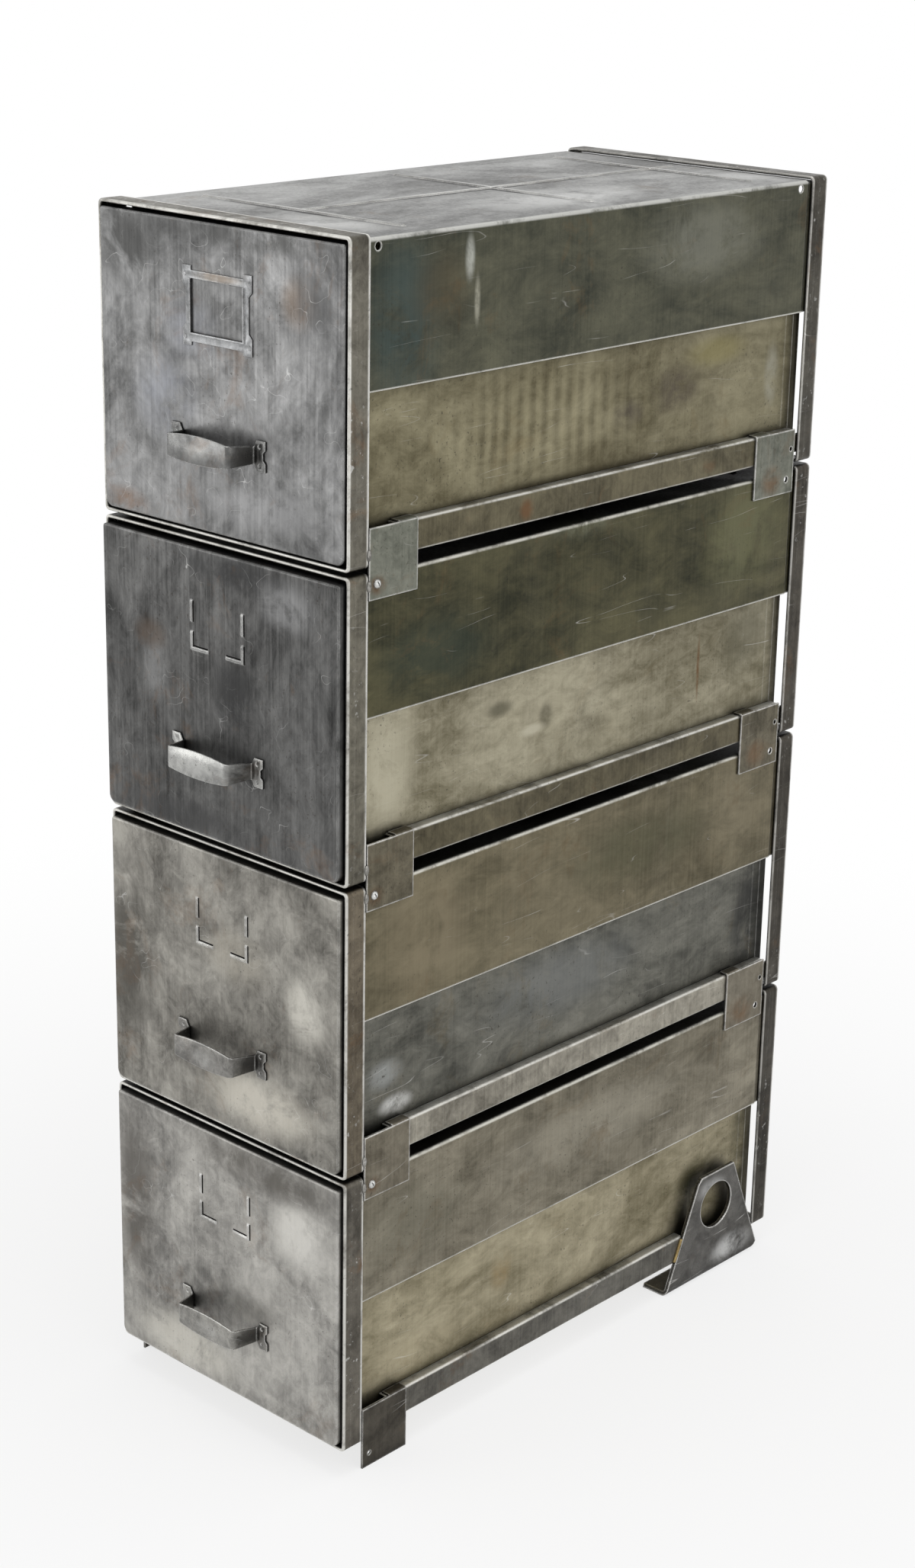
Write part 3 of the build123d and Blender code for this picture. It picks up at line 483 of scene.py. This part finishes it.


# ---- drawer faces --------------------------------------------------------------------------------
# Shallow pans of thicker sheet that close each drawer.  Each has weathered in its own way: the top two dark
# and cool, the lower two pale and warm, all with vertical brush lines and bright borders, partly worn and
# partly a painted highlight.  Dark bands near the frame are painted shade.

face_tones = {
    1: ((0.068, 0.068, 0.067), (0.265, 0.265, 0.263)),
    2: ((0.016, 0.016, 0.0155), (0.155, 0.154, 0.150)),
    3: ((0.09, 0.085, 0.075), (0.40, 0.385, 0.345)),
    4: ((0.14, 0.136, 0.127), (0.50, 0.485, 0.45))}
# Patches of each face: stains and rubbing, and painted shade in the dark bands along the top of faces 1, 2
# and 4 and down the left of faces 3 and 4.
face_stains_and_shade = {
    1: [((-0.036, -0.31, 1.076), (0.05, 0.05, 0.035), (0.24, 0.247, 0.27), 0.6),
        ((-0.07, -0.31, 1.012), (0.055, 0.05, 0.05), (0.22, 0.228, 0.25), 0.7),
        ((0.102, -0.31, 1.115), (0.03, 0.05, 0.03), (0.13, 0.085, 0.05), 0.7),
        ((-0.12, -0.31, 1.14), (0.06, 0.05, 0.05), (0.06, 0.06, 0.058), 0.9),
        ((0.03, -0.31, 1.165), (0.16, 0.05, 0.02), (0.07, 0.07, 0.068), 0.9),
        ((0.12, -0.31, 1.12), (0.04, 0.05, 0.08), (0.10, 0.10, 0.10), 0.8),
        ((-0.125, -0.31, 0.905), (0.04, 0.05, 0.02), (0.16, 0.09, 0.05), 0.6),
        ((0.05, -0.31, 0.93), (0.10, 0.05, 0.03), (0.30, 0.30, 0.30), 0.7)],
    2: [((0.02, -0.32, 0.868), (0.10, 0.05, 0.022), (0.035, 0.035, 0.035), 0.9),
        ((0.02, -0.32, 0.75), (0.04, 0.05, 0.06), (0.03, 0.03, 0.03), 0.9),
        ((-0.086, -0.32, 0.758), (0.024, 0.05, 0.045), (0.20, 0.20, 0.198), 0.7),
        ((-0.09, -0.32, 0.79), (0.03, 0.05, 0.02), (0.085, 0.06, 0.042), 0.6),
        ((-0.05, -0.32, 0.625), (0.12, 0.05, 0.02), (0.05, 0.05, 0.05), 0.8),
        ((0.09, -0.32, 0.85), (0.05, 0.05, 0.03), (0.27, 0.27, 0.27), 0.6)],
    3: [((-0.13, -0.32, 0.47), (0.05, 0.05, 0.13), (0.075, 0.07, 0.06), 0.9),
        ((0.111, -0.32, 0.475), (0.035, 0.05, 0.05), (0.62, 0.60, 0.54), 0.8),
        ((0.02, -0.32, 0.50), (0.06, 0.05, 0.04), (0.40, 0.375, 0.32), 0.6),
        ((0.05, -0.32, 0.36), (0.10, 0.05, 0.04), (0.58, 0.55, 0.48), 0.8)],
    4: [((0.10, -0.32, 0.24), (0.05, 0.05, 0.05), (0.66, 0.645, 0.60), 0.8),
        ((-0.13, -0.32, 0.20), (0.04, 0.05, 0.13), (0.12, 0.112, 0.10), 0.9),
        ((-0.06, -0.32, 0.06), (0.10, 0.05, 0.04), (0.60, 0.58, 0.52), 0.8),
        ((0.06, -0.32, 0.29), (0.14, 0.05, 0.03), (0.13, 0.122, 0.108), 0.9)]}
for tier in (1, 2, 3, 4):
    dark, light = face_tones[tier]
    finish_node(f"drawer_face_{tier}", bare_steel(
        f"face_steel_{tier}", dark, light, seed=tier + 70, brush=ALONG_Z, cloud=9.0, rust=0.3,
        streaky=0.3 if tier == 2 else 0.1, edge=(0.82, 0.82, 0.80), patches=face_stains_and_shade[tier],
        stretch=(1.15, 1.0, 0.6) if tier == 2 else (1.0, 1.0, 0.85)))


# ---- drawer trays --------------------------------------------------------------------------------
# Folded from thin sheet, hemmed along the top and spot-welded behind the face.  Their olive sides show soft
# dents and ripples, with painted shade and highlight on some of them.

tray_tones = {
    1: ((0.085, 0.072, 0.038), (0.26, 0.235, 0.15)),
    2: ((0.12, 0.105, 0.062), (0.38, 0.35, 0.255)),
    3: ((0.055, 0.055, 0.046), (0.20, 0.195, 0.165)),
    4: ((0.15, 0.13, 0.075), (0.42, 0.375, 0.26))}
# Patches of each tray: stains and rubbing, and painted light.  The dark patches on the dents of trays 1 and
# 2, with a light line between two of tray 2's, are painted shade and highlight of the dents; the dark band
# just above the rail on tray 1 and the dark patches at the rear end of trays 3 and 4 are painted shade; the
# dark patch on tray 4 beside the rear foot is painted shadow of the bracket.
tray_stains_and_shade = {
    1: [((0.146, 0.07, 0.975), (0.05, 0.03, 0.02), (0.075, 0.062, 0.045), 0.9),
        ((0.146, 0.14, 0.99), (0.05, 0.05, 0.03), (0.085, 0.07, 0.05), 0.8),
        ((0.146, 0.20, 1.02), (0.05, 0.06, 0.02), (0.24, 0.21, 0.09), 0.6),
        ((0.146, 0.29, 0.985), (0.05, 0.015, 0.04), (0.30, 0.29, 0.23), 0.8),
        ((0.146, 0.0, 0.925), (0.05, 0.30, 0.012), (0.07, 0.058, 0.03), 0.9)],
    2: [((0.146, -0.10, 0.722), (0.05, 0.024, 0.011), (0.10, 0.092, 0.06), 0.8),
        ((0.146, -0.035, 0.702), (0.05, 0.013, 0.018), (0.11, 0.10, 0.065), 0.85),
        ((0.146, 0.035, 0.678), (0.05, 0.03, 0.011), (0.13, 0.115, 0.075), 0.8),
        ((0.146, -0.055, 0.692), (0.05, 0.024, 0.008), (0.48, 0.45, 0.35), 0.7),
        ((0.146, -0.25, 0.70), (0.05, 0.05, 0.08), (0.44, 0.41, 0.31), 0.8),
        ((0.146, 0.195, 0.70), (0.05, 0.003, 0.045), (0.14, 0.085, 0.04), 1.0),
        ((0.146, 0.27, 0.72), (0.05, 0.06, 0.06), (0.13, 0.12, 0.08), 0.7)],
    3: [((0.146, -0.235, 0.365), (0.05, 0.028, 0.014), (0.62, 0.62, 0.60), 1.0),
        ((0.146, -0.25, 0.40), (0.05, 0.03, 0.02), (0.32, 0.33, 0.32), 0.7),
        ((0.146, 0.30, 0.40), (0.05, 0.04, 0.10), (0.03, 0.03, 0.028), 0.9),
        ((0.146, 0.0, 0.42), (0.05, 0.16, 0.05), (0.15, 0.155, 0.15), 0.7)],
    4: [((0.146, 0.235, 0.105), (0.05, 0.05, 0.045), (0.05, 0.045, 0.012), 1.0),
        ((0.146, -0.08, 0.13), (0.05, 0.02, 0.03), (0.30, 0.22, 0.11), 0.7),
        ((0.146, 0.31, 0.12), (0.05, 0.022, 0.10), (0.06, 0.055, 0.03), 0.9),
        ((0.146, -0.20, 0.09), (0.05, 0.10, 0.03), (0.44, 0.39, 0.27), 0.7)]}
# Dents of the right side: y, z, reach and depth of each.
tray_dents = {1: [(0.067, 0.978, 0.05, 0.0013), (0.135, 0.99, 0.045, 0.0011), (0.23, 0.96, 0.06, 0.0015)],
              2: [(-0.10, 0.722, 0.045, 0.0018), (-0.035, 0.70, 0.04, 0.0016), (0.035, 0.68, 0.045, 0.0018),
                  (0.16, 0.70, 0.07, 0.0014), (-0.20, 0.68, 0.06, 0.0012)]}
DENT_GRID = 0.011               # the cuts are this far apart
GRID_MARGIN = 0.015             # and stay this far inside the tray's borders
ON_THE_SHEET = 0.0025           # a vertex this near in x is on one or the other face of the sheet
AT_THE_SPOT = 0.0005
SAME_POINT = 0.00001
SMOOTH_BELOW = math.radians(35.0)


def cad_copy(name, node):
    """A copy of a CAD piece with its seams joined, left selected and open for editing."""
    piece = bpy.data.objects.new(name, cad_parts[node].data.copy())
    scene.collection.objects.link(piece)
    bpy.ops.object.select_all(action="DESELECT")
    piece.select_set(True)
    bpy.context.view_layer.objects.active = piece
    bpy.ops.object.mode_set(mode="EDIT")
    bpy.ops.mesh.select_mode(type="VERT")
    bpy.ops.mesh.select_all(action="SELECT")
    bpy.ops.mesh.remove_doubles(threshold=SAME_POINT)
    return piece


def dented_copy(name, node, dents):
    """The tray cut into small faces, with its right side pushed in softly at some places."""
    piece = cad_copy(name, node)
    low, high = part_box(node)
    for axis, normal in ((1, (0, 1, 0)), (2, (0, 0, 1))):
        cuts = int((high[axis] - low[axis] - 2 * GRID_MARGIN) / DENT_GRID)
        for cut in range(cuts):
            place = [0.0, 0.0, 0.0]
            place[axis] = low[axis] + GRID_MARGIN + cut * DENT_GRID
            bpy.ops.mesh.select_all(action="SELECT")
            bpy.ops.mesh.bisect(plane_co=place, plane_no=normal)
    for y, z, reach, depth in dents:
        bpy.ops.mesh.select_all(action="DESELECT")
        bpy.ops.object.mode_set(mode="OBJECT")
        middle = min((v.co for v in piece.data.vertices),
                     key=lambda co: abs(co.x - high.x) + abs(co.y - y) + abs(co.z - z)).copy()
        for vertex in piece.data.vertices:
            off = vertex.co - middle
            vertex.select = (abs(off.x) < ON_THE_SHEET and abs(off.y) < AT_THE_SPOT
                             and abs(off.z) < AT_THE_SPOT)
        bpy.ops.object.mode_set(mode="EDIT")
        bpy.ops.transform.translate(value=(-depth, 0.0, 0.0), use_proportional_edit=True,
                                    proportional_edit_falloff="SMOOTH", proportional_size=reach)
    bpy.ops.object.mode_set(mode="OBJECT")
    bpy.ops.object.shade_smooth_by_angle(angle=SMOOTH_BELOW)
    return piece


for tier in (1, 2, 3, 4):
    dark, light = tray_tones[tier]
    tray_sheet = bare_steel(
        f"tray_sheet_{tier}", dark, light, seed=tier + 80, brush=ALONG_Z, cloud=9.0, streaky=0.08,
        rust=0.25, rust_colour=(0.17, 0.12, 0.05), edge_wear_and_highlight=0.6, patches=tray_stains_and_shade[tier],
        stretch=(1.0, 0.6, 1.1),
        ripples=[((0.1465, -0.05, 0.985), (0.1, 0.20, 0.07), 0.017, 0.22)] if tier == 1 else ())
    if tier in tray_dents:
        tray = dented_copy(f"tray_{tier}", f"drawer_tray_{tier}", tray_dents[tier])
        finish(tray.data, tray_sheet)
        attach(tray, f"drawer_{tier}")
        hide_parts(f"drawer_tray_{tier}")
    else:
        finish_node(f"drawer_tray_{tier}", tray_sheet)


# ---- drawer pulls --------------------------------------------------------------------------------
# Bow pulls bent from one steel strip, with flared ears spot-welded to the face.  Hands have rounded and
# polished the band; its light tones, highest on the second pull, also carry a painted sheen.  A patch of
# painted shade darkens the right leg, and a painted highlight lies on the front of the band.

PULL_ROUND = 0.00045
SHARP_ABOVE = math.radians(50.0)
FLAT_WITHIN = math.radians(0.5)


def worked_copy(name, node, round_over):
    """A piece with its stamped edges rounded over, made from the CAD piece's own shape."""
    piece = cad_copy(name, node)
    bpy.ops.mesh.dissolve_limited(angle_limit=FLAT_WITHIN)
    bpy.ops.object.mode_set(mode="OBJECT")
    rounding = piece.modifiers.new("rounding", "BEVEL")
    rounding.width = round_over
    rounding.segments = 2
    rounding.limit_method = "ANGLE"
    rounding.angle_limit = SHARP_ABOVE
    bpy.ops.object.modifier_apply(modifier="rounding")
    bpy.ops.object.shade_smooth_by_angle(angle=SMOOTH_BELOW)
    return piece


pull_tones = {
    1: ((0.075, 0.075, 0.073), (0.22, 0.22, 0.215)),
    2: ((0.17, 0.17, 0.165), (0.46, 0.46, 0.44)),
    3: ((0.08, 0.078, 0.072), (0.33, 0.32, 0.30)),
    4: ((0.11, 0.107, 0.10), (0.40, 0.39, 0.36))}
pull_pattern = worked_copy("pull_1", "drawer_pull_1", PULL_ROUND)
for tier in (1, 2, 3, 4):
    pull = pull_pattern
    if tier > 1:
        pull = bpy.data.objects.new(f"pull_{tier}", pull_pattern.data.copy())
        scene.collection.objects.link(pull)
        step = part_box(f"drawer_pull_{tier}")[0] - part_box("drawer_pull_1")[0]
        pull.data.transform(Matrix.Translation(step))
    dark, light = pull_tones[tier]
    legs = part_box(f"drawer_pull_{tier}")
    middle = (legs[0] + legs[1]) / 2.0
    # painted shade on the right leg and a painted highlight on the front of the band
    shade = [((legs[1].x - 0.012, middle.y, middle.z), (0.016, 0.03, 0.02), (0.04, 0.038, 0.035), 0.9),
             ((middle.x, legs[0].y, middle.z - 0.002), (0.022, 0.012, 0.01), (0.50, 0.50, 0.48), 0.4)]
    finish(pull.data, bare_steel(
        f"pull_steel_{tier}", dark, light, seed=tier + 90, brush=ALONG_X, cloud=22.0, rust=0.2,
        edge=(0.90, 0.90, 0.88), edge_width=0.0016, rough=(0.24, 0.42), dents=0.05, patches=shade))
    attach(pull, f"drawer_{tier}")
    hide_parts(f"drawer_pull_{tier}")


# ---- label holder --------------------------------------------------------------------------------
# The top drawer's card frame is pressed from thin bright sheet, with its sides folded over to grip
# the card's edges.  It is spot-welded at four ears.

HOLDER_ROUND = 0.0002
holder = worked_copy("card_frame_1", "label_holder", HOLDER_ROUND)
low_corner, high_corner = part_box("label_holder")
brown_bar = (0.0, low_corner.y, high_corner.z - 0.007)
holder_steel = bare_steel(
    "holder_steel", (0.12, 0.122, 0.122), (0.40, 0.405, 0.41), seed=99, brush=ALONG_X, cloud=26.0,
    rust=0.3, edge=(0.86, 0.86, 0.85), edge_width=0.0011, rough=(0.28, 0.45), dents=0.05,
    patches=[(brown_bar, (0.04, 0.02, 0.006), (0.30, 0.24, 0.18), 0.6)])
finish(holder.data, holder_steel)
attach(holder, "drawer_1")
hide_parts("label_holder")


# ---- card slots ----------------------------------------------------------------------------------
# The other faces have no card frame: a card slips behind tongues lanced out of the face, which are part of
# the CAD faces.  Lancing left an open slot beside each; a thin dark strip of painted shade stands for the
# shadow in it.

TONGUE = 0.003                  # width of a tongue
TONGUE_PROUD = 0.0014           # the CAD tongues stand this far off the face
TONGUE_ARM = 0.023              # length of a corner tongue's lower arm
CORNER = 0.182                  # lower edge of the corner tongues, above the tier's floor
UPRIGHTS = ((0.208, 0.228), (CORNER, 0.199))
COLUMNS = ((-0.035, 1), (0.032, -1))    # left edge of each column, and the way its arm points
SLOT = 0.0014
STRIP_UNDER = 0.0002            # a strip reaches this far under its tongue
STRIP_PROUD = 0.0002
STRIP_SUNK = 0.0003
STRIP_ROUND = 0.00015
slot_shade = bare_steel("slot_shadow", (0.004, 0.004, 0.004), (0.012, 0.011, 0.010), seed=7, cloud=60.0,
                        rust=0.1, scratches=0.0, edge_wear_and_highlight=0.0, rough=(0.7, 0.9))


def slot_strip(x_span, z_span, front):
    """One thin strip lying on the face, its edges rounded; joined by the caller."""
    bpy.ops.object.select_all(action="DESELECT")
    back_face = front + STRIP_SUNK
    size = (x_span[1] - x_span[0], back_face - front + STRIP_PROUD, z_span[1] - z_span[0])
    bpy.ops.mesh.primitive_cube_add(size=1.0, location=(0.0, 0.0, 0.0))
    strip = bpy.context.object
    bpy.ops.object.mode_set(mode="EDIT")
    bpy.ops.mesh.select_all(action="SELECT")
    bpy.ops.transform.resize(value=size, center_override=(0.0, 0.0, 0.0))
    bpy.ops.transform.translate(value=(sum(x_span) / 2.0, back_face - size[1] / 2.0, sum(z_span) / 2.0))
    bpy.ops.mesh.bevel(offset=STRIP_ROUND, segments=2, affect="EDGES")
    bpy.ops.object.mode_set(mode="OBJECT")
    return strip


def joined(parts, name):
    """Join small pieces into one object."""
    bpy.ops.object.select_all(action="DESELECT")
    for part in parts:
        part.select_set(True)
    bpy.context.view_layer.objects.active = parts[0]
    bpy.ops.object.join()
    bpy.ops.object.shade_smooth_by_angle(angle=math.radians(40.0))
    parts[0].name = name
    return parts[0]


for tier in (2, 3, 4):
    low = FLOOR_OF_TIER[tier]
    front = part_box(f"drawer_face_{tier}")[0].y + TONGUE_PROUD
    shadow_strips = []
    above_arm = (low + CORNER + TONGUE - STRIP_UNDER, low + CORNER + TONGUE + SLOT)
    for left, inner in COLUMNS:
        beside = (left + TONGUE - STRIP_UNDER, left + TONGUE + SLOT)
        for bottom, end in UPRIGHTS:
            shadow_strips.append(slot_strip(beside, (low + bottom, low + end), front))
        arm = (left + TONGUE, left + TONGUE_ARM) if inner > 0 else (left + TONGUE - TONGUE_ARM, left)
        shadow_strips.append(slot_strip(arm, above_arm, front))
    cuts = joined(shadow_strips, f"card_slot_shadows_{tier}")
    cuts.data.materials.append(slot_shade)
    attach(cuts, f"drawer_{tier}")


# ---- weld beads ----------------------------------------------------------------------------------
# Each front plate is tacked to the strip frame beside it by two small beads, left as they cooled: flattened
# drops, bright on the crown, with painted shade at the foot.

BEAD_RADIUS = 0.0028
BEAD_STRETCH = (0.42, 1.0, 1.9)
BEAD_SUNK = 0.0003
BEAD_PLACES = (0.2, 0.62)       # shares of the plate's height
bead_steel = bare_steel("weld_bead", (0.10, 0.095, 0.085), (0.45, 0.44, 0.41), seed=120, cloud=90.0,
                        rust=0.35, edge_wear_and_highlight=0.0, rough=(0.3, 0.5))
bpy.ops.object.select_all(action="DESELECT")
bpy.ops.mesh.primitive_uv_sphere_add(segments=20, ring_count=12, radius=BEAD_RADIUS,
                                     location=(0.0, 0.0, 0.0))
bead_pattern = bpy.context.object
bead_pattern.name = "weld_bead_pattern"
bpy.ops.object.mode_set(mode="EDIT")
bpy.ops.mesh.select_all(action="SELECT")
bpy.ops.transform.resize(value=BEAD_STRETCH, center_override=(0.0, 0.0, 0.0))
bpy.ops.mesh.vertices_smooth(factor=0.3, repeat=1)
bpy.ops.transform.vertex_random(offset=0.0003, uniform=0.1, seed=4)
bpy.ops.object.mode_set(mode="OBJECT")
bpy.ops.object.shade_smooth()
for tier in (1, 2, 3):
    for side, sign in (("left", -1), ("right", 1)):
        low_corner, high_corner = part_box(f"front_plate_{side}_{tier}")
        outer = high_corner.x if sign > 0 else low_corner.x
        beads = []
        for share in BEAD_PLACES:
            bead = bpy.data.objects.new(f"bead_{side}_{tier}", bead_pattern.data.copy())
            scene.collection.objects.link(bead)
            rise = low_corner.z + share * (high_corner.z - low_corner.z)
            bead.data.transform(Matrix.Translation((outer - sign * BEAD_SUNK, low_corner.y, rise)))
            beads.append(bead)
        pair = joined(beads, f"weld_beads_{side}_{tier}")
        pair.data.materials.append(bead_steel)
        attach(pair, "case")
bpy.data.objects.remove(bead_pattern)
